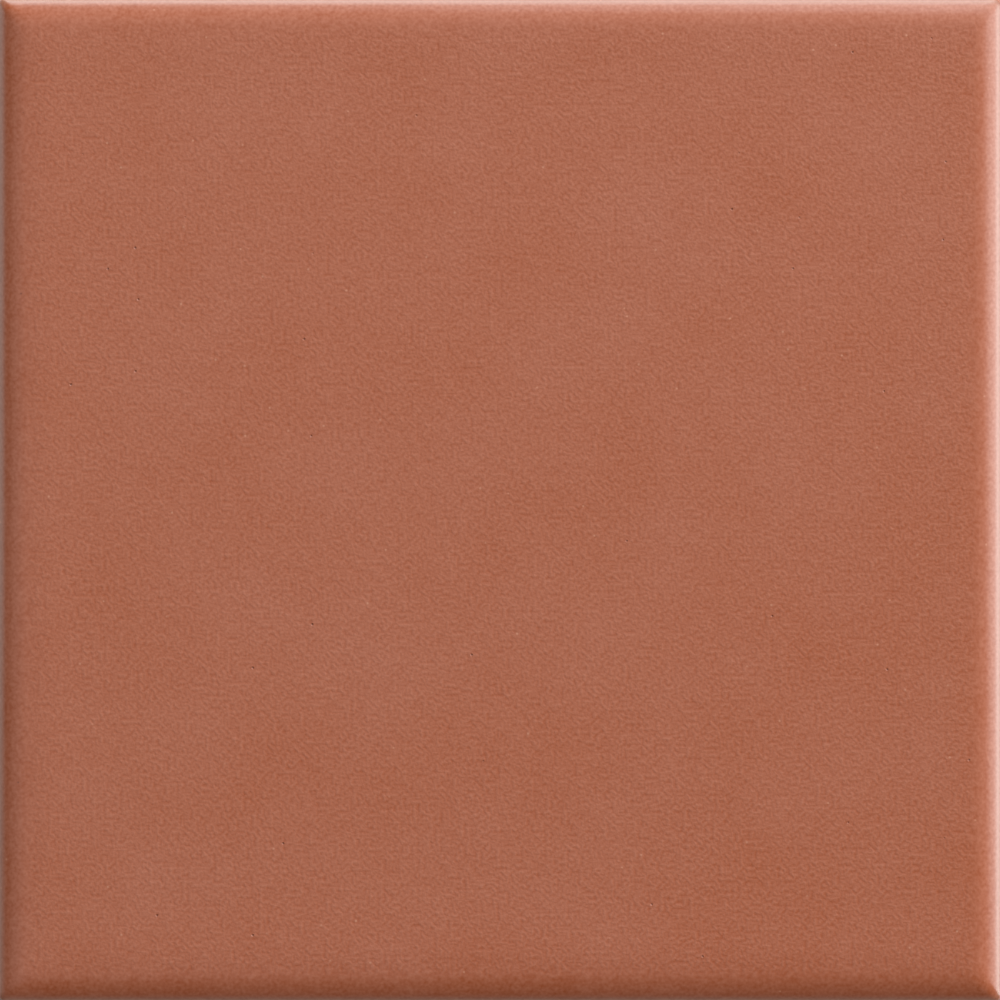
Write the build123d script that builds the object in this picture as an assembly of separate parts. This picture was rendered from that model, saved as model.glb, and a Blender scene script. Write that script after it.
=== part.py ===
from build123d import *
from math import cos, radians, sin, tan
import os

# A square glazed wall tile with cushioned edges, lying on its back with the glazed face up.
# It is dry-pressed, glazed and fired as one piece, so it is one solid.
# From the top down: a flat field, a cushion that rolls over on all four sides, an upright land
# that faces the joint, a drafted flank, and a back with raised ribs that key into the adhesive.
# Units are millimetres. The origin is at the middle of the back, on the plane of the ribs.

# Face and thickness
MODULE = 100.0
JOINT = 2.0
WIDTH = MODULE - JOINT
THICKNESS = 6.5

# Cushion: a long shallow shoulder, a crown and a tight arris, each arc tangent to the next
SHOULDER_RADIUS = 36.0
SHOULDER_TURN = 4.0
SHOULDER_STEPS = 3
CROWN_RADIUS = 4.6
CROWN_TURN = 40.0
CROWN_STEPS = 8
ARRIS_RADIUS = 0.75
ARRIS_TURN = 90.0
ARRIS_STEPS = 4

# Corners in plan: nearly square at the joint, a little softer up on the face
CORNER_RADIUS = 0.5
CORNER_SOFTENING = 0.45

# Sides below the cushion
LAND_HEIGHT = 1.6
FLANK_DRAFT = 4.0
HEEL_BEVEL = 0.5

# Back: a drafted pad with square pockets, which leaves a grid of ribs inside a rim
RIB_HEIGHT = 0.9
KEY_DRAFT = 20.0
BACK_MARGIN = 4.6
POCKETS_ACROSS = 7
RIB_WIDTH = 2.6
PAD_CORNER = 2.5
POCKET_CORNER = 1.2

# Sizes that follow from those above


def arc_run(radius, start, end):
    """How far inwards an arc reaches while its slope turns from start to end, in degrees."""
    return radius * (sin(radians(end)) - sin(radians(start)))


def arc_drop(radius, start, end):
    """How far an arc falls while its slope turns from start to end, in degrees."""
    return radius * (cos(radians(start)) - cos(radians(end)))


shoulder = (SHOULDER_RADIUS, 0.0, SHOULDER_TURN)
crown = (CROWN_RADIUS, SHOULDER_TURN, CROWN_TURN)
arris = (ARRIS_RADIUS, CROWN_TURN, ARRIS_TURN)
cushion_run = arc_run(*shoulder) + arc_run(*crown) + arc_run(*arris)
land_top = THICKNESS - arc_drop(*shoulder) - arc_drop(*crown) - arc_drop(*arris)
land_foot = land_top - LAND_HEIGHT
heel_top = RIB_HEIGHT + HEEL_BEVEL
flank_inset = (land_foot - heel_top) * tan(radians(FLANK_DRAFT))
heel_inset = flank_inset + HEEL_BEVEL
pad_width = WIDTH - 2 * BACK_MARGIN
key_inset = RIB_HEIGHT * tan(radians(KEY_DRAFT))
pocket_pitch = (pad_width - 2 * key_inset - RIB_WIDTH) / POCKETS_ACROSS
pocket_width = pocket_pitch - RIB_WIDTH


def rounded_square(width, corner, height):
    """A square with rounded corners, level at a height above the bedding plane."""
    return Plane.XY.offset(height) * RectangleRounded(width, width, corner)


def side_section(inset, height):
    """The tile's outline at a height, drawn in from the land by an inset."""
    corner = CORNER_RADIUS + CORNER_SOFTENING * inset
    return rounded_square(WIDTH - 2 * inset, corner, height)


def arc_sections(arc, steps, inset, height):
    """Outlines down one arc of the cushion, from the inset and height where it starts."""
    radius, start, end = arc
    turns = [start + (end - start) * step / steps for step in range(steps + 1)]
    return [side_section(inset - arc_run(radius, start, turn), height - arc_drop(radius, start, turn))
            for turn in turns]


def cushion():
    """The rolled edge and the flat field inside it, one loft for each arc of its section."""
    inset = cushion_run
    height = THICKNESS
    bands = []
    for arc, steps in ((shoulder, SHOULDER_STEPS), (crown, CROWN_STEPS), (arris, ARRIS_STEPS)):
        bands.append(loft(arc_sections(arc, steps, inset, height)[::-1]))
        inset -= arc_run(*arc)
        height -= arc_drop(*arc)
    return bands[0] + bands[1] + bands[2]


def sides():
    """The heel bevel, the drafted flank and the upright land, from the back up."""
    heel_foot = side_section(heel_inset, RIB_HEIGHT)
    flank_foot = side_section(flank_inset, heel_top)
    flank_head = side_section(0, land_foot)
    heel = loft([heel_foot, flank_foot], ruled=True)
    flank = loft([flank_foot, flank_head], ruled=True)
    land = extrude(flank_head, LAND_HEIGHT)
    return heel + flank + land


def key_pad():
    """The raised pad on the back, narrower where it beds than at its root."""
    root = rounded_square(pad_width, PAD_CORNER, RIB_HEIGHT)
    bed = rounded_square(pad_width - 2 * key_inset, PAD_CORNER - key_inset, 0)
    return loft([root, bed], ruled=True)


def key_pocket():
    """One square pocket of the keying, wider at its mouth than at its floor."""
    mouth = rounded_square(pocket_width, POCKET_CORNER, 0)
    floor = rounded_square(pocket_width - 2 * key_inset, POCKET_CORNER - key_inset, RIB_HEIGHT)
    return loft([mouth, floor], ruled=True)


def key_pockets():
    """The pockets set out on a square grid about the middle of the back."""
    places = GridLocations(pocket_pitch, pocket_pitch, POCKETS_ACROSS, POCKETS_ACROSS)
    pocket = key_pocket()
    return [place * pocket for place in places]


def wall_tile():
    """The whole tile as one closed solid."""
    blank = sides() + cushion()
    return blank + key_pad() - key_pockets()


tile = wall_tile()
os.makedirs("parts", exist_ok=True)
export_step(tile, "parts/wall_tile.step")
print("cushion", round(cushion_run, 2), "wide and", round(THICKNESS - land_top, 2), "deep")
print("pocket", round(pocket_width, 2), "wide on a pitch of", round(pocket_pitch, 2))
print("volume", round(tile.volume / 1000, 2), "cubic centimetres")
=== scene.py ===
# %% The frame
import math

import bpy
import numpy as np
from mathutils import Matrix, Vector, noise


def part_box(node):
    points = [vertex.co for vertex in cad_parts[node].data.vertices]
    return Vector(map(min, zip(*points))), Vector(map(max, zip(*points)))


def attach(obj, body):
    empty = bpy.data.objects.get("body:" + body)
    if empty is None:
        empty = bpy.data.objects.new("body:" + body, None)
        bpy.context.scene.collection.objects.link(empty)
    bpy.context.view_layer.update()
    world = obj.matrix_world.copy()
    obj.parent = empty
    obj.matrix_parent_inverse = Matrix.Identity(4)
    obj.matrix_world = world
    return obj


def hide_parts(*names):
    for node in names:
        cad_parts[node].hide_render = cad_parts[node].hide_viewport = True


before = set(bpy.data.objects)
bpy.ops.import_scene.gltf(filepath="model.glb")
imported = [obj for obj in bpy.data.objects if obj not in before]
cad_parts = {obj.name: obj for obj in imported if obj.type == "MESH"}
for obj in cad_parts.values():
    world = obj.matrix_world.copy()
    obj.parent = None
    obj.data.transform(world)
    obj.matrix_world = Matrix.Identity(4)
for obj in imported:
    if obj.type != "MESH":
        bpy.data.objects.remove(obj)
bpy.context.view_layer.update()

# %% [markdown]
# # A satin glazed wall tile
# A wall tile is pressed from clay dust, glazed on its face and fired. It is one piece, but it shows
# two surfaces: satin glaze on the face and over the rim, and bare fired clay, which potters call
# biscuit, on the lower sides and the back.
# The CAD model gives the true size and section. This scene makes the same form again as one fine
# mesh, because a fired tile is never as flat as its drawing: glaze swells and pools a little, and it
# ends on the side in a wavering line. The finest grain stays with the materials.

MM = 0.001
lowest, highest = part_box("wall_tile")
HALF = highest[0] / MM
THICKNESS = highest[2] / MM
print("tile", round(2 * HALF, 2), "mm wide and", round(THICKNESS, 2), "mm thick")

# %% [markdown]
# ## The section of the cushioned edge
# Seen from the side, the face rolls over to the joint in three arcs, each tangent to the next: a long
# shallow shoulder, a crown, and a tight arris where the face turns into the upright land.
# A bevel modifier could round a square slab, but it makes one radius only. Sampling the three arcs
# gives the real section, with more points where it turns fast and catches the light.

# %% Cushion section
# Each arc: its radius in mm, the slope where it starts and ends in degrees, and its number of steps
CUSHION_ARCS = ((36.0, 0.0, 4.0, 6), (4.6, 4.0, 40.0, 14), (0.75, 40.0, 90.0, 9))


def cushion_section():
    """Inset from the land and height of each point, from the top of the land up to the flat field."""
    points = [(0.0, 0.0)]
    for radius, start, end, steps in CUSHION_ARCS:
        run, drop = points[-1]
        first = math.radians(start)
        for turn in np.radians(np.linspace(start, end, steps + 1)[1:]):
            points.append((run + radius * (math.sin(turn) - math.sin(first)),
                           drop + radius * (math.cos(first) - math.cos(turn))))
    width = points[-1][0]
    rising = points[::-1]
    inset = np.array([width - run for run, drop in rising])
    return inset, np.array([THICKNESS - drop for run, drop in rising])


cushion_inset, cushion_height = cushion_section()
LAND_TOP = cushion_height[0]
print("cushion", round(cushion_inset[-1], 2), "mm wide and", round(THICKNESS - LAND_TOP, 2), "mm deep")

# %% [markdown]
# ## Square rings with soft corners
# The face, the back and every pocket are squares inside squares. A square grid of lines is easy to
# make, but its corners are all sharp. So each square ring of the grid is bent into a rounded square:
# points near a corner slide round a quarter circle, and the rest stay where they are.
# A subdivision surface would round the corners too, but it would shrink the outline with them.

# %% Rounding the rings
CORNER_AT_LAND = 0.5
CORNER_GROWTH = 0.2


def round_rings(x, y, corner):
    """Bends the points of square rings about the origin into rounded squares with these corner radii."""
    half = np.maximum(abs(x), abs(y))
    along = np.minimum(abs(x), abs(y))
    radius = np.maximum(corner, 1e-6)
    start = half - radius
    turn = np.clip((along - start) / radius, 0, 1) * math.pi / 4
    out = start + radius * np.cos(turn)
    side = np.where(along > start, start + radius * np.sin(turn), along)
    x_leads = abs(x) >= abs(y)
    return np.where(x_leads, out, side) * np.sign(x), np.where(x_leads, side, out) * np.sign(y)


# %% [markdown]
# ## Soft unevenness
# Clay dust never packs evenly and glaze never melts evenly, so no fired surface is true. Blender's
# own noise, read at each point, gives slow swells that are the same on every run. The swells only
# ever take material away, so that the tile stays inside its true size.

# %% Unevenness
def wander(points, size, seed):
    """Smooth random values from -1 to 1 at points in mm, with swells about this many mm apart."""
    shift = Vector((17.3, 5.1, 9.7)) * seed
    return np.array([noise.noise(Vector(point) / size + shift) for point in points.tolist()])


# %% [markdown]
# ## The glazed face
# The lines of the face crowd together over the cushion, one for each point of its section, and are
# evenly spaced over the flat field. The fired face is faintly uneven: the glaze swells by about a
# hundredth of a millimetre over 5 to 15 mm, which is what makes its sheen look soft and alive.

# %% Face points
LINES = 201
# Each swell of the glaze: its depth and the distance between swells in mm, and its seed
GLAZE_SWELLS = ((0.006, 13.0, 1), (0.003, 5.0, 2))
SWELLS_START = 0.6
field_lines = np.linspace(-1, 1, LINES - 2 * len(cushion_inset) + 2) * (HALF - cushion_inset[-1])
rim_lines = HALF - cushion_inset[:-1]
face_lines = np.concatenate((-rim_lines, field_lines, rim_lines[::-1]))


def grid_points(lines):
    """The crossing points of a square grid, as two flat arrays."""
    x, y = np.meshgrid(lines, lines, indexing="ij")
    return x.ravel(), y.ravel()


def face_points():
    """The points of the glazed face, with its slow swells."""
    x, y = grid_points(face_lines)
    half = np.maximum(abs(x), abs(y))
    rim_corner = CORNER_AT_LAND + CORNER_GROWTH * (HALF - half)
    field_edge = HALF - cushion_inset[-1]
    field_corner = (CORNER_AT_LAND + CORNER_GROWTH * cushion_inset[-1]) * half / field_edge
    x, y = round_rings(x, y, np.where(half > field_edge, rim_corner, field_corner))
    z = np.interp(half, (HALF - cushion_inset)[::-1], cushion_height[::-1])
    points = np.stack((x, y, z), axis=1)
    swell = sum(depth * (1 - wander(points, apart, seed)) for depth, apart, seed in GLAZE_SWELLS)
    points[:, 2] -= swell * np.clip((HALF - half) / SWELLS_START, 0, 1)
    return points


face = face_points()
print("face", len(face), "points, lowest", round(face[:, 2].min(), 3), "highest", round(face[:, 2].max(), 3))

# %% [markdown]
# ## The ribbed back
# The back is pressed by a plate with square studs, which leaves pockets between ribs. Adhesive keys
# into the pockets when the tile is bedded on a wall. The walls of each pocket lean back by about 20
# degrees so that the die lets go, and a worn die rounds the lips and the toes.
# A boolean cut would leave knife edges. Here each pocket has its own rings of lines, and one profile
# says how high each ring lies, so that lips and toes come out rounded.

# %% Back profile
POCKETS = 7
LAST_POCKET = (POCKETS - 1) / 2
POCKET_PITCH = 12.221
# One pocket, from its middle to the middle of the rib: half width, height and corner radius of each ring
POCKET_RINGS = np.array((
    (0.0, 0.9, 0.0), (1.8, 0.9, 0.35), (3.3, 0.9, 0.65), (4.15, 0.9, 0.82), (4.38, 0.86, 0.88),
    (4.5, 0.74, 0.93), (4.76, 0.1, 1.15), (4.84, 0.03, 1.2), (4.98, 0.0, 1.2), (5.5, 0.0, 0.7),
    (POCKET_PITCH / 2, 0.0, 0.0)))
# The same for the pad that holds the pockets, from its outermost rib to the foot of its edge
PAD_RINGS = np.array((
    (POCKETS * POCKET_PITCH / 2, 0.0, 0.0), (43.2, 0.0, 0.8), (43.55, 0.0, 1.4), (43.8, 0.0, 1.8),
    (43.94, 0.005, 2.0), (44.03, 0.03, 2.15), (44.1, 0.1, 2.25), (44.22, 0.42, 2.35), (44.33, 0.72, 2.42),
    (44.42, 0.83, 2.5), (44.54, 0.88, 2.5), (44.68, 0.9, 2.5), (44.85, 0.9, 2.45)))
# The flat margin ends at the heel
HEEL_RING = (48.376, 0.9, 0.78)
MARGIN_RINGS = 18
CROWDING = 1.8


def margin_rings():
    """Rings across the flat margin, which crowd together towards the heel as those of the face do."""
    share = 1 - (1 - np.linspace(0, 1, MARGIN_RINGS + 1)[1:]) ** CROWDING
    return PAD_RINGS[-1] + share[:, None] * (np.array(HEEL_RING) - PAD_RINGS[-1])


RIM_RINGS = np.concatenate((PAD_RINGS, margin_rings()))


def back_lines():
    """The grid lines of the back: those of the seven pockets, then those of the rim on both sides."""
    half_cell = POCKET_RINGS[:, 0]
    cell = np.concatenate((-half_cell[:0:-1], half_cell))
    middles = (np.arange(POCKETS) - LAST_POCKET) * POCKET_PITCH
    pockets = [middle + cell[:-1] for middle in middles]
    rim = RIM_RINGS[:, 0]
    return np.concatenate([-rim[:0:-1]] + pockets + [rim])


ribbed_lines = back_lines()
print("back", len(ribbed_lines), "lines, face", len(face_lines), "lines")

# %% [markdown]
# The rings are placed in two steps. Inside the outermost rib each point belongs to one pocket and is
# rounded about the middle of that pocket. Outside it, the rings run round the whole tile.
# Bare clay is rougher than glaze: the rib tops are faintly uneven, and crumbs are missing along the
# lips, as dust tiles lose them on the way to the kiln.

# %% Back points
# Each swell of the clay: its depth and the distance between swells in mm, and its seed
CLAY_SWELLS = ((0.012, 4.0, 3), (0.006, 1.1, 4))
# The lips that lose crumbs, as spans of half width
POCKET_LIP = (4.8, 5.1)
PAD_LIP = (43.74, 44.14)
CRUMBS_APART = 1.7
CRUMB_DEPTH = 0.16
# A crumb starts where the noise passes the first value and has its full depth at the second
CRUMB_START = 0.32
CRUMB_FULL = 0.57


def nearest_pocket(value):
    """The middle of the pocket nearest to each coordinate."""
    return np.clip(np.round(value / POCKET_PITCH), -LAST_POCKET, LAST_POCKET) * POCKET_PITCH


def between(value, span):
    """Whether each value lies inside a span."""
    return (value > span[0]) & (value < span[1])


def back_points():
    """The points of the ribbed back, with crumbled lips and uneven ribs."""
    x, y = grid_points(ribbed_lines)
    half = np.maximum(abs(x), abs(y))
    outside = half > RIM_RINGS[0, 0] + 1e-6
    rim_x, rim_y = round_rings(x, y, np.interp(half, RIM_RINGS[:, 0], RIM_RINGS[:, 2]))
    middle_x, middle_y = nearest_pocket(x), nearest_pocket(y)
    reach = np.maximum(abs(x - middle_x), abs(y - middle_y))
    corner = np.interp(reach, POCKET_RINGS[:, 0], POCKET_RINGS[:, 2])
    cell_x, cell_y = round_rings(x - middle_x, y - middle_y, corner)
    rim_z = np.interp(half, RIM_RINGS[:, 0], RIM_RINGS[:, 1])
    cell_z = np.interp(reach, POCKET_RINGS[:, 0], POCKET_RINGS[:, 1])
    points = np.stack((np.where(outside, rim_x, middle_x + cell_x),
                       np.where(outside, rim_y, middle_y + cell_y),
                       np.where(outside, rim_z, cell_z)), axis=1)
    points[:, 2] += sum(depth * (1 + wander(points, apart, seed)) for depth, apart, seed in CLAY_SWELLS)
    lip = np.where(outside, between(half, PAD_LIP), between(reach, POCKET_LIP))
    crumbs = np.clip((wander(points, CRUMBS_APART, 5) - CRUMB_START) / (CRUMB_FULL - CRUMB_START), 0, 1)
    points[:, 2] += CRUMB_DEPTH * crumbs * lip
    return points


back = back_points()
print("back lies between", round(back[:, 2].min(), 3), "and", round(back[:, 2].max(), 3), "mm")

# %% [markdown]
# ## The sides and the glaze line
# Below the cushion the side drops as an upright land, then leans in by 4 degrees as a flank and ends
# in a small heel. The glaze runs over the rim and stops on the land in a rounded lip about a tenth of
# a millimetre thick, lower where it ran and higher where it drew back.
# Separate shells for body and glaze would hide a gap or a clash between them. One skin with a step in
# it is simpler and true to the fired piece, in which the two are melted together.

# %% Side rings
FLANK_LEAN = math.tan(math.radians(4))
GLAZE_THICKNESS = 0.11
GLAZE_LINE = LAND_TOP - 1.08
LAND_FOOT = LAND_TOP - 1.6
# Rings from the land's top down: height, height above the glaze line, inset, and how the lines blend
# from those of the back, at 0, to those of the face, at 1. Each ring has one of the two heights, and
# a ring without an inset lies on the leaning flank.
SIDE_RINGS = (
    (LAND_TOP - 0.32, None, 0.01, 1.0), (None, 0.34, 0.02, 1.0), (None, 0.15, 0.0, 1.0),
    (None, 0.05, 0.03, 1.0), (None, 0.0, GLAZE_THICKNESS, 1.0),
    (LAND_FOOT + 0.06, None, GLAZE_THICKNESS, 0.9), (LAND_FOOT - 0.05, None, GLAZE_THICKNESS + 0.02, 0.8),
    (2.65, None, None, 0.6), (2.1, None, None, 0.4),
    (1.55, None, None, 0.2), (1.34, None, 0.29, 0.15), (1.08, None, 0.48, 0.05))
GLAZED_SIDE_RINGS = 5
# Each waver of the glaze line: its height and the distance between waves in mm, and its seed
LINE_WAVERS = ((0.24, 7.0, 6), (0.1, 1.9, 7))


def outline_order():
    """The grid indices of the outermost points, walked round the tile."""
    last = LINES - 1
    walk = [(step, 0) for step in range(last)] + [(last, step) for step in range(last)]
    walk += [(last - step, last) for step in range(last)] + [(0, last - step) for step in range(last)]
    return np.array(walk)


outline = outline_order()


def side_ring(height, above_line, inset, blend):
    """One ring of points round the side of the tile."""
    shares = (1 - blend) * ribbed_lines / ribbed_lines[-1] + blend * face_lines / HALF
    if inset is None:
        inset = GLAZE_THICKNESS + (LAND_FOOT - height) * FLANK_LEAN
    x = shares[outline[:, 0]] * (HALF - inset)
    y = shares[outline[:, 1]] * (HALF - inset)
    x, y = round_rings(x, y, np.full(len(x), CORNER_AT_LAND + CORNER_GROWTH * inset))
    points = np.stack((x, y, np.zeros(len(x))), axis=1)
    if height is None:
        waver = sum(rise * wander(points, apart, seed) for rise, apart, seed in LINE_WAVERS)
        points[:, 2] = GLAZE_LINE + waver + above_line
    else:
        points[:, 2] = height
    return points


rings = [side_ring(*ring) for ring in SIDE_RINGS]
print("sides", len(rings), "rings of", len(rings[0]), "points")

# %% [markdown]
# ## One closed skin
# Face, rings and back have the same number of points round the outline, so each is joined to the
# next by a band of four-sided faces. The result is one watertight skin, as the tile is one solid.
# Each face is told which of the two finishes it wears: everything above the lip is glaze.

# %% Skin
def grid_faces(first, upward):
    """Four-sided faces between the points of a square grid that starts at this point."""
    step = np.arange(LINES - 1)
    i, j = (part.ravel() for part in np.meshgrid(step, step, indexing="ij"))
    corner = first + i * LINES + j
    loop = [corner, corner + LINES, corner + LINES + 1, corner + 1]
    return np.stack(loop if upward else loop[::-1], axis=1)


def band_faces(upper, lower):
    """Four-sided faces between two closed rings of point numbers, the upper one first."""
    return np.stack((lower, np.roll(lower, -1), np.roll(upper, -1), upper), axis=1)


def tile_mesh():
    """The whole skin as a mesh, with faces of glaze in slot 0 and faces of biscuit in slot 1."""
    points = np.concatenate([face] + rings + [back])
    face_rim = outline[:, 0] * LINES + outline[:, 1]
    back_start = len(points) - len(back)
    loops = [face_rim]
    for number in range(len(rings)):
        loops.append(len(face) + number * len(outline) + np.arange(len(outline)))
    loops.append(back_start + face_rim)
    bands = [band_faces(upper, lower) for upper, lower in zip(loops, loops[1:])]
    parts = [grid_faces(0, True)] + bands + [grid_faces(back_start, False)]
    slots = [0] * (1 + GLAZED_SIDE_RINGS) + [1] * (len(parts) - 1 - GLAZED_SIDE_RINGS)
    mesh = bpy.data.meshes.new("glazed_tile")
    mesh.from_pydata((points * MM).tolist(), [], np.concatenate(parts).tolist())
    finishes = np.concatenate([[slot] * len(part) for slot, part in zip(slots, parts)])
    mesh.polygons.foreach_set("material_index", finishes)
    mesh.polygons.foreach_set("use_smooth", [True] * len(mesh.polygons))
    mesh.update()
    return mesh


glazed_tile = bpy.data.objects.new("glazed_tile", tile_mesh())
bpy.context.collection.objects.link(glazed_tile)
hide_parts("wall_tile")
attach(glazed_tile, "root")
print("glazed_tile", len(glazed_tile.data.polygons), "faces, problems:", glazed_tile.data.validate())

# %% [markdown]
# ## How the glaze lies
# Melted glaze creeps. It draws thin over a sharp arris and gathers just inside the crown, where the
# slope lets go of it. Thin glaze lets some of the pale body through, thick glaze is deeper in colour.
# The paler arris is also a painted cream highlight, and the deeper band inside the crown is also
# painted shade.
# Where it is drawn tight over the rim its grain is pulled flat as well, so the rim shines smoothly.
# The mesh knows how far each point lies from the joint, so both values are stored on the points
# themselves, and the material reads them by name.

# %% Glaze thickness and depth of grain
# Distance from the joint in mm, and the share of the usual thickness or depth that is found there
# The thin shares over the arris also place a painted cream highlight, the thick ones inside the crown
# painted shade
THICKNESS_AT = ((0.0, 0.35), (0.3, 0.5), (0.8, 0.85), (1.6, 1.0), (2.6, 1.2), (3.4, 1.25), (4.5, 1.1),
                (6.5, 1.0))
GRAIN_DEPTH_AT = ((0.0, 0.12), (2.2, 0.12), (3.6, 1.0))


def store_by_distance(mesh, name, shares_at, share_on_side):
    """Writes a share on every point of the mesh that depends on its distance from the joint."""
    places = np.zeros(len(mesh.vertices) * 3)
    mesh.vertices.foreach_get("co", places)
    places = places.reshape(-1, 3) / MM
    distance = HALF - np.maximum(abs(places[:, 0]), abs(places[:, 1]))
    shares = np.interp(distance, *np.array(shares_at).T)
    shares = np.where(places[:, 2] < LAND_TOP, share_on_side, shares)
    mesh.attributes.new(name, "FLOAT", "POINT").data.foreach_set("value", shares)
    print(name, "from", round(shares.min(), 2), "to", round(shares.max(), 2))


store_by_distance(glazed_tile.data, "glaze_thickness", THICKNESS_AT, 0.75)
store_by_distance(glazed_tile.data, "grain_depth", GRAIN_DEPTH_AT, 0.3)

# %% [markdown]
# ## Shared effects
# Both finishes are made of the same few effects at other sizes: fine grain, slow mottling, and dots
# scattered here and there. Each is a node group with named sockets, built once. All of them read the
# object's own coordinates in metres, so a size in the group is a true size on the tile.

# %% Node helpers
def node(tree, kind, inputs=None, **settings):
    """A node with its settings made and its inputs set to numbers or linked to other sockets."""
    made = tree.nodes.new(kind)
    for name, value in settings.items():
        setattr(made, name, value)
    for key, value in (inputs or {}).items():
        if isinstance(value, bpy.types.NodeSocket):
            tree.links.new(value, made.inputs[key])
        else:
            made.inputs[key].default_value = value
    return made


def math_node(tree, operation, first, second):
    """The result of one operation on two values or sockets."""
    return node(tree, "ShaderNodeMath", {0: first, 1: second}, operation=operation).outputs[0]


def weighted_sum(tree, *parts):
    """The sum of several sockets, each given with its weight."""
    total = 0.0
    for value, weight in parts:
        total = node(tree, "ShaderNodeMath", {0: value, 1: weight, 2: total},
                     operation="MULTIPLY_ADD").outputs[0]
    return total


def remap(tree, value, low, high, to_low, to_high):
    """A value stretched from one range to another and held at its ends."""
    return node(tree, "ShaderNodeMapRange", {"Value": value, "From Min": low, "From Max": high,
                                             "To Min": to_low, "To Max": to_high}).outputs["Result"]


def effect_group(name, inputs, outputs):
    """An empty node group with these sockets, and its two end nodes."""
    tree = bpy.data.node_groups.new(name, "ShaderNodeTree")
    for label, value in inputs.items():
        tree.interface.new_socket(label, in_out="INPUT", socket_type="NodeSocketFloat").default_value = value
    for label in outputs:
        tree.interface.new_socket(label, in_out="OUTPUT", socket_type="NodeSocketFloat")
    return tree, tree.nodes.new("NodeGroupInput"), tree.nodes.new("NodeGroupOutput")


def place_over_size(tree, size, seed):
    """The object's own coordinates divided by a size in metres and shifted by a seed."""
    place = node(tree, "ShaderNodeTexCoord").outputs["Object"]
    count = math_node(tree, "DIVIDE", 1.0, size)
    scaled = node(tree, "ShaderNodeVectorMath", {0: place, "Scale": count}, operation="SCALE").outputs[0]
    shift = node(tree, "ShaderNodeCombineXYZ", {"X": seed, "Y": seed, "Z": seed}).outputs[0]
    return node(tree, "ShaderNodeVectorMath", {0: scaled, 1: shift}, operation="ADD").outputs[0]


# %% Fine grain
def fine_grain_group():
    """Small rounded bumps of one size, as satin glaze and fired clay both have."""
    tree, given, result = effect_group("fine_grain", {"Size": 0.0006, "Seed": 0.0}, ("Height", "Grain"))
    place = place_over_size(tree, given.outputs["Size"], given.outputs["Seed"])
    bumps = node(tree, "ShaderNodeTexNoise", {"Vector": place, "Scale": 1.0, "Detail": 1.0,
                                              "Roughness": 0.4}).outputs["Fac"]
    tree.links.new(bumps, result.inputs["Height"])
    tree.links.new(remap(tree, bumps, 0.25, 0.75, 0.0, 1.0), result.inputs["Grain"])
    return tree


# %% Slow mottling
def mottling_group():
    """Broad soft patches, where glaze melted or clay fired a little differently, and where sheen is painted.
    """
    tree, given, result = effect_group("mottling", {"Size": 0.004, "Seed": 0.0}, ("Patches",))
    place = place_over_size(tree, given.outputs["Size"], given.outputs["Seed"])
    patches = node(tree, "ShaderNodeTexNoise", {"Vector": place, "Scale": 1.0, "Detail": 2.0,
                                                "Roughness": 0.55}).outputs["Fac"]
    tree.links.new(remap(tree, patches, 0.2, 0.8, 0.0, 1.0), result.inputs["Patches"])
    return tree


# %% Scattered dots
def scattered_dots_group():
    """Round dots on a share of the cells of a scattered pattern."""
    sockets = {"Spacing": 0.003, "Radius": 0.1, "Share": 0.3, "Seed": 0.0}
    tree, given, result = effect_group("scattered_dots", sockets, ("Dots",))
    place = place_over_size(tree, given.outputs["Spacing"], given.outputs["Seed"])
    cells = node(tree, "ShaderNodeTexVoronoi", {"Vector": place, "Scale": 1.0})
    distance = math_node(tree, "DIVIDE", cells.outputs["Distance"], given.outputs["Radius"])
    dot = remap(tree, distance, 1.0, 0.4, 0.0, 1.0)
    pick = node(tree, "ShaderNodeSeparateColor", {"Color": cells.outputs["Color"]}).outputs["Red"]
    chosen = math_node(tree, "LESS_THAN", pick, given.outputs["Share"])
    tree.links.new(math_node(tree, "MULTIPLY", dot, chosen), result.inputs["Dots"])
    return tree


fine_grain = fine_grain_group()
mottling = mottling_group()
scattered_dots = scattered_dots_group()
print("effects:", ", ".join(tree.name for tree in bpy.data.node_groups))


# %% Placing an effect
def effect(tree, group_tree, **values):
    """A shared effect placed in a material with its own values, by socket name."""
    placed = node(tree, "ShaderNodeGroup", node_tree=group_tree)
    for name, value in values.items():
        placed.inputs[name].default_value = value
    return placed.outputs


def blend_colors(tree, share, first, second):
    """One colour mixed over another; share may be a number or a mask."""
    mixed = node(tree, "ShaderNodeMix", data_type="RGBA")
    for socket, value in ((mixed.inputs[0], share), (mixed.inputs[6], first), (mixed.inputs[7], second)):
        if isinstance(value, bpy.types.NodeSocket):
            tree.links.new(value, socket)
        else:
            socket.default_value = value if socket is mixed.inputs[0] else (*value, 1.0)
    return mixed.outputs[2]


def new_finish(name):
    """A new material, its node tree and its Principled shader."""
    finish = bpy.data.materials.new(name)
    finish.use_nodes = True
    shader = finish.node_tree.nodes["Principled BSDF"]
    return finish, finish.node_tree, shader
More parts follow.
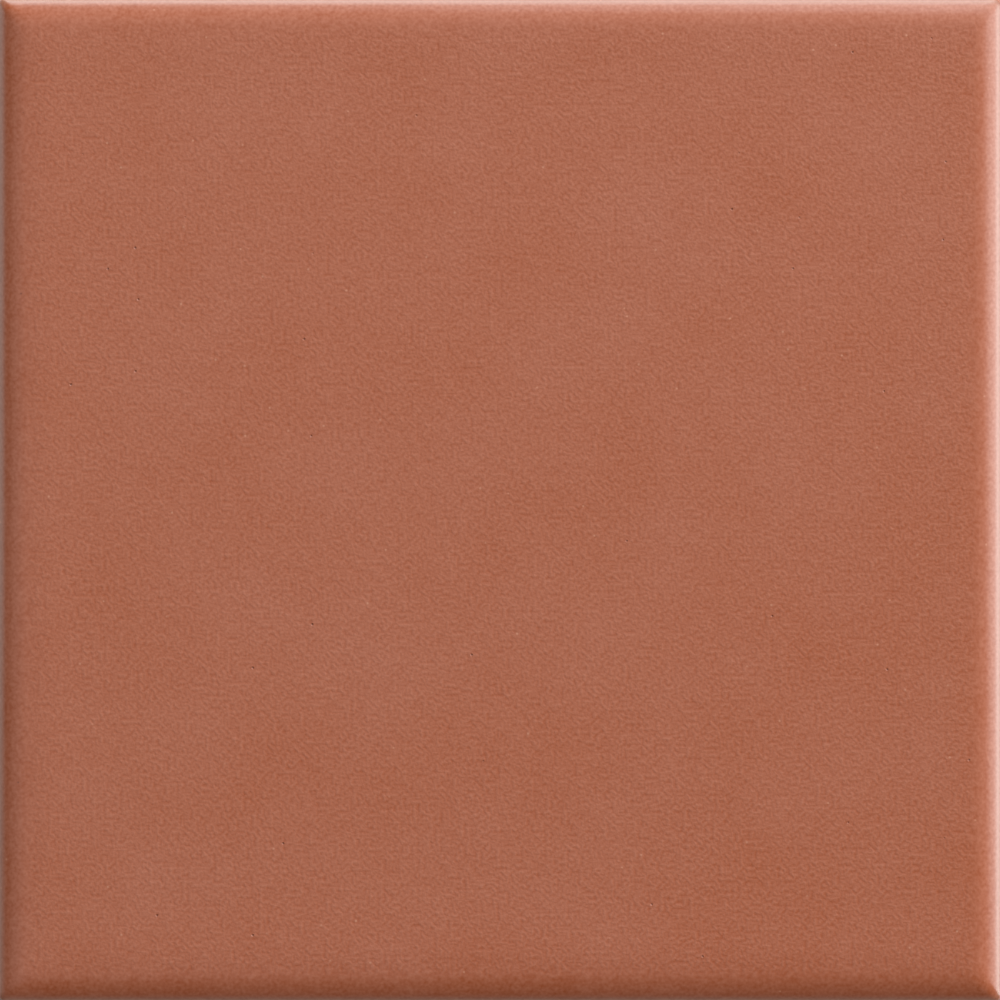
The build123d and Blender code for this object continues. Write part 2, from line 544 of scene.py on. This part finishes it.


# %% [markdown]
# ## Satin terracotta glaze
# The glaze is opaque and coloured through, with fine crystals that scatter light, so its highlights
# are broad and soft: a satin sheen, not a mirror. Close up it has a fine orange-peel grain that
# repeats about every half millimetre, and its colour shifts with it. Slow patches lie over that, and
# a faint pale veil in broad patches, which is painted sheen, with a small pale speck here and there
# and a pinhole painted dark as the shade inside it. Over the arris, where the glaze is thin and drawn
# tight, it is paler, partly from the pale body showing through and partly as a painted cream
# highlight, and it has a second, clear gloss.
# A photograph could give all this, but only for one place and one light. Built from noise at true
# sizes, the grain lies in the surface itself and answers to any light.
# Blender's noise is evenly fine only on the whole-number layers of its lattice. The tile's thickness
# divided by each size, plus the seed, is a whole number, so that the flat face lies on such a layer.

# %% Glaze colours
# The two ends of the grain's colour, then those of thin glaze with its painted highlight, of pooled
# glaze with its painted shade, of painted sheen, of specks and of pinholes painted as shade
GLAZE_DEEP = (0.3242, 0.0669, 0.0151)
GLAZE_PALE = (0.4398, 0.1465, 0.0779)
# Thin glaze: partly the pale body showing through, partly a painted cream highlight over the arris
GLAZE_THIN_AND_PAINTED_HIGHLIGHT = (0.372, 0.215, 0.155)
# Pooled glaze: partly thick glaze, partly painted shade in the band just inside the crown
GLAZE_POOLED_AND_PAINTED_SHADE = (0.330, 0.086, 0.036)
# A painted sheen: a faint pale veil, mixed over the colour in broad patches
GLAZE_PAINTED_SHEEN = (0.75, 0.475, 0.417)
SPECK = (0.56, 0.27, 0.17)
# Painted shade: the pinholes are coloured dark as the shade inside them
PINHOLE_SHADE = (0.16, 0.05, 0.03)


# %% Glaze grain
def glaze_grain(tree):
    """The grain, clouds and patches of the glaze, at sizes that fit the tile's thickness."""
    grain = effect(tree, fine_grain, Size=THICKNESS * MM / 20, Seed=3.0)
    cloud = effect(tree, fine_grain, Size=THICKNESS * MM / 6, Seed=11.0)
    patches = effect(tree, mottling, Size=THICKNESS * MM / 1.5, Seed=5.5)["Patches"]
    return grain, cloud, patches


# %% Glaze colour
# The greatest share of each colour that is mixed over the grain's
PAINTED_SHEEN_SHARE = 0.05
THIN_AND_HIGHLIGHT_SHARE = 0.5
POOLED_AND_SHADE_SHARE = 0.12
SPECK_SHARE = 0.6
PINHOLE_SHADE_SHARE = 0.6


def glaze_color(tree, shade, thickness, pinholes):
    """The colour of the glaze from its grain's tone, thickness and pinholes, with painted highlight, sheen
    and shade.
    """
    # Broad patches of painted sheen
    painted_sheen = effect(tree, mottling, Size=THICKNESS * MM * 2, Seed=9.5)["Patches"]
    specks = effect(tree, scattered_dots, Spacing=0.0026, Radius=0.06, Share=0.9, Seed=7.0)["Dots"]
    layers = ((math_node(tree, "MULTIPLY", painted_sheen, PAINTED_SHEEN_SHARE), GLAZE_PAINTED_SHEEN),
              # Partly pale body through thin glaze, partly a painted cream highlight over the arris
              (remap(tree, thickness, 0.85, 0.35, 0.0, THIN_AND_HIGHLIGHT_SHARE), GLAZE_THIN_AND_PAINTED_HIGHLIGHT),
              # Partly deeper pooled glaze, partly painted shade just inside the crown
              (remap(tree, thickness, 1.0, 1.25, 0.0, POOLED_AND_SHADE_SHARE), GLAZE_POOLED_AND_PAINTED_SHADE),
              (math_node(tree, "MULTIPLY", specks, SPECK_SHARE), SPECK),
              # Painted shade inside the pinholes
              (math_node(tree, "MULTIPLY", pinholes, PINHOLE_SHADE_SHARE), PINHOLE_SHADE))
    color = blend_colors(tree, shade, GLAZE_DEEP, GLAZE_PALE)
    for share, layer in layers:
        color = blend_colors(tree, share, color, layer)
    return color


# %% Glaze
def glaze_finish():
    """The satin glaze of the face, rim and upper sides."""
    finish, tree, shader = new_finish("satin_terracotta_glaze")
    grain, cloud, patches = glaze_grain(tree)
    pinholes = effect(tree, scattered_dots, Spacing=0.0028, Radius=0.05, Share=0.5, Seed=21.0)["Dots"]
    thickness = node(tree, "ShaderNodeAttribute", attribute_name="glaze_thickness").outputs["Fac"]
    depth = node(tree, "ShaderNodeAttribute", attribute_name="grain_depth").outputs["Fac"]
    shade = weighted_sum(tree, (grain["Grain"], 0.75), (cloud["Grain"], 0.13), (patches, 0.12))
    tree.links.new(glaze_color(tree, shade, thickness, pinholes), shader.inputs["Base Color"])
    sheen = weighted_sum(tree, (grain["Height"], 1.0), (cloud["Height"], 0.6), (pinholes, -1.2))
    relief = node(tree, "ShaderNodeBump", {"Height": sheen, "Distance": 0.00005, "Strength": depth})
    tree.links.new(relief.outputs["Normal"], shader.inputs["Normal"])
    tree.links.new(remap(tree, patches, 0.0, 1.0, 0.285, 0.315), shader.inputs["Roughness"])
    shader.inputs["IOR"].default_value = 1.5
    tree.links.new(remap(tree, thickness, 0.85, 0.5, 0.0, 1.0), shader.inputs["Coat Weight"])
    shader.inputs["Coat Roughness"].default_value = 0.29
    return finish


glaze = glaze_finish()
print("glaze nodes:", len(glaze.node_tree.nodes))

# %% [markdown]
# ## Fired clay
# The biscuit under the glaze is a matte, porous red-buff clay. It has grit you can see, darker and
# paler grains from the ground clay, faint patches from the kiln, and no sheen at all. The ribs carry
# a pale wash, which keeps tiles from sticking to the kiln rollers.

# %% Clay colours
CLAY = (0.50, 0.275, 0.175)
CLAY_WARM = (0.42, 0.205, 0.12)
CLAY_WASH = (0.62, 0.49, 0.40)
GROG_DARK = (0.20, 0.10, 0.07)
GROG_PALE = (0.70, 0.58, 0.47)


# %% Clay colour
# Height in metres above which the wash no longer reaches
WASH_TOP = 0.00025


def clay_color(tree, coarse, dark_grog):
    """The colour of the clay, with its wash on the rib tops and its dark and pale grog."""
    patches = effect(tree, mottling, Size=0.011, Seed=41.0)["Patches"]
    wash = effect(tree, mottling, Size=0.003, Seed=43.0)["Patches"]
    pale_grog = effect(tree, scattered_dots, Spacing=0.0026, Radius=0.11, Share=0.3, Seed=53.0)["Dots"]
    shade = weighted_sum(tree, (patches, 0.6), (coarse["Grain"], 0.4))
    place = node(tree, "ShaderNodeTexCoord").outputs["Object"]
    height = node(tree, "ShaderNodeSeparateXYZ", {0: place}).outputs["Z"]
    on_ribs = remap(tree, height, WASH_TOP, 0.2 * WASH_TOP, 0.0, 0.75)
    washed = math_node(tree, "MULTIPLY", on_ribs, remap(tree, wash, 0.25, 0.6, 0.15, 1.0))
    color = blend_colors(tree, shade, CLAY_WARM, CLAY)
    color = blend_colors(tree, washed, color, CLAY_WASH)
    color = blend_colors(tree, math_node(tree, "MULTIPLY", dark_grog, 0.7), color, GROG_DARK)
    return blend_colors(tree, math_node(tree, "MULTIPLY", pale_grog, 0.6), color, GROG_PALE)


# %% Clay
def clay_finish():
    """The bare clay of the lower sides and the back."""
    finish, tree, shader = new_finish("fired_clay")
    grain = effect(tree, fine_grain, Size=0.00035, Seed=31.0)
    coarse = effect(tree, fine_grain, Size=0.0011, Seed=37.0)
    dark_grog = effect(tree, scattered_dots, Spacing=0.0021, Radius=0.1, Share=0.35, Seed=47.0)["Dots"]
    tree.links.new(clay_color(tree, coarse, dark_grog), shader.inputs["Base Color"])
    grit = weighted_sum(tree, (grain["Height"], 1.0), (coarse["Height"], 1.5), (dark_grog, -0.5))
    relief = node(tree, "ShaderNodeBump", {"Height": grit, "Distance": 0.00009, "Strength": 1.0})
    tree.links.new(relief.outputs["Normal"], shader.inputs["Normal"])
    tree.links.new(remap(tree, grain["Grain"], 0.0, 1.0, 0.82, 0.95), shader.inputs["Roughness"])
    shader.inputs["Specular IOR Level"].default_value = 0.3
    return finish


clay = clay_finish()
glazed_tile.data.materials.append(glaze)
glazed_tile.data.materials.append(clay)
print("finishes on the tile:", [slot.name for slot in glazed_tile.data.materials])

# %% [markdown]
# ## Floor
# The tile is stored lying flat, so the floor is a plain pale sheet under its ribs. It carries the
# shadow and throws a little light back at the sides.

# %% Floor
FLOOR_REACH = 3.0


def pale_floor():
    """A level square sheet at the height of the rib tops."""
    corners = [(-FLOOR_REACH, -FLOOR_REACH, 0), (FLOOR_REACH, -FLOOR_REACH, 0),
               (FLOOR_REACH, FLOOR_REACH, 0), (-FLOOR_REACH, FLOOR_REACH, 0)]
    mesh = bpy.data.meshes.new("floor")
    mesh.from_pydata(corners, [], [(0, 1, 2, 3)])
    sheet = bpy.data.objects.new("floor", mesh)
    bpy.context.collection.objects.link(sheet)
    finish, tree, shader = new_finish("pale_floor")
    shader.inputs["Base Color"].default_value = (0.78, 0.77, 0.75, 1.0)
    shader.inputs["Roughness"].default_value = 0.9
    shader.inputs["Specular IOR Level"].default_value = 0.2
    mesh.materials.append(finish)
    return sheet


floor = pale_floor()

# %% [markdown]
# ## Light
# Satin glaze is shown by the edge of its highlights, so the light has a side. One long low strip
# stands to the right and one beyond the far side: the two cushions that face them mirror them as
# white bands, and each strip is long enough to fill its band from corner to corner.
# A broad key between the two lights the field and rakes its grain, so that the grain can be seen, and
# two weaker boxes high above even the field out. The other two cushions face away, into soft shade,
# with only a weak fill on the left one.
# Each box is given by where it stands, how wide and tall it looks from the tile in degrees, and how
# bright its cloth is, where 1 would look white. A lamp's power follows from its area and brightness.

# %% Softboxes
# Distance in metres; azimuth from the tile's right, elevation, width and height in degrees; brightness
SOFTBOXES = {
    "right_strip": (1.6, -1, 11, 34, 20, 5.8),
    "far_strip": (1.6, 91, 10, 34, 14, 6.0),
    "key": (1.3, 42, 34, 85, 24, 5.3),
    "high_key": (1.3, 42, 60, 60, 30, 0.65),
    "overhead": (1.0, 148, 71, 75, 60, 0.72),
    "left_fill": (0.9, 170, 9, 30, 14, 1.22),
}


def softbox(name, distance, azimuth, elevation, width, height, brightness):
    """An area lamp that faces the middle of the tile's face."""
    lamp = bpy.data.lights.new(name, "AREA")
    lamp.shape = "RECTANGLE"
    lamp.size = 2 * distance * math.tan(math.radians(width / 2))
    lamp.size_y = 2 * distance * math.tan(math.radians(height / 2))
    lamp.energy = brightness * math.pi * lamp.size * lamp.size_y
    holder = bpy.data.objects.new(name, lamp)
    turn, rise = math.radians(azimuth), math.radians(elevation)
    toward = Vector((math.cos(turn) * math.cos(rise), math.sin(turn) * math.cos(rise), math.sin(rise)))
    holder.location = toward * distance + Vector((0, 0, THICKNESS * MM))
    holder.rotation_euler = toward.to_track_quat("Z", "Y").to_euler()
    holder.visible_camera = False
    bpy.context.collection.objects.link(holder)
    return holder


softboxes = {name: softbox(name, *values) for name, values in SOFTBOXES.items()}
print("softboxes", {name: round(box.data.energy, 2) for name, box in softboxes.items()}, "watts")

# %% [markdown]
# The room itself gives only a little light. The background is white where the camera sees it. Glossy
# rays don't see that white, because the satin glaze would pick it up as a haze over its shaded sides.

# %% World
ROOM_LIGHT = 0.05


def studio_world():
    """Dim even light all round, and white where the camera looks past the floor."""
    world = bpy.data.worlds.new("studio")
    world.use_nodes = True
    tree = world.node_tree
    tree.nodes.clear()
    seen = node(tree, "ShaderNodeLightPath").outputs["Is Camera Ray"]
    strength = remap(tree, seen, 0.0, 1.0, ROOM_LIGHT, 1.0)
    sky = node(tree, "ShaderNodeBackground", {"Color": (1.0, 1.0, 1.0, 1.0), "Strength": strength})
    node(tree, "ShaderNodeOutputWorld", {"Surface": sky.outputs[0]})
    bpy.context.scene.world = world


studio_world()

# %% [markdown]
# ## Camera
# The tile is seen from straight above, square to the frame and filling it. A long lens held far off
# keeps all four cushions alike, as they are when a tile is shown flat for a catalogue.

# %% Camera
LENS = 180
SENSOR = 36
FRAME_WIDTH = 97.7
camera_data = bpy.data.cameras.new("camera")
camera_data.lens = LENS
camera_data.sensor_width = SENSOR
distance = FRAME_WIDTH * MM * LENS / SENSOR
camera = bpy.data.objects.new("camera", camera_data)
camera.location = (0, 0, LAND_TOP * MM + distance)
bpy.context.collection.objects.link(camera)
bpy.context.scene.camera = camera
bpy.context.scene.view_settings.view_transform = "Standard"
print("camera", round(distance, 3), "m above the land")
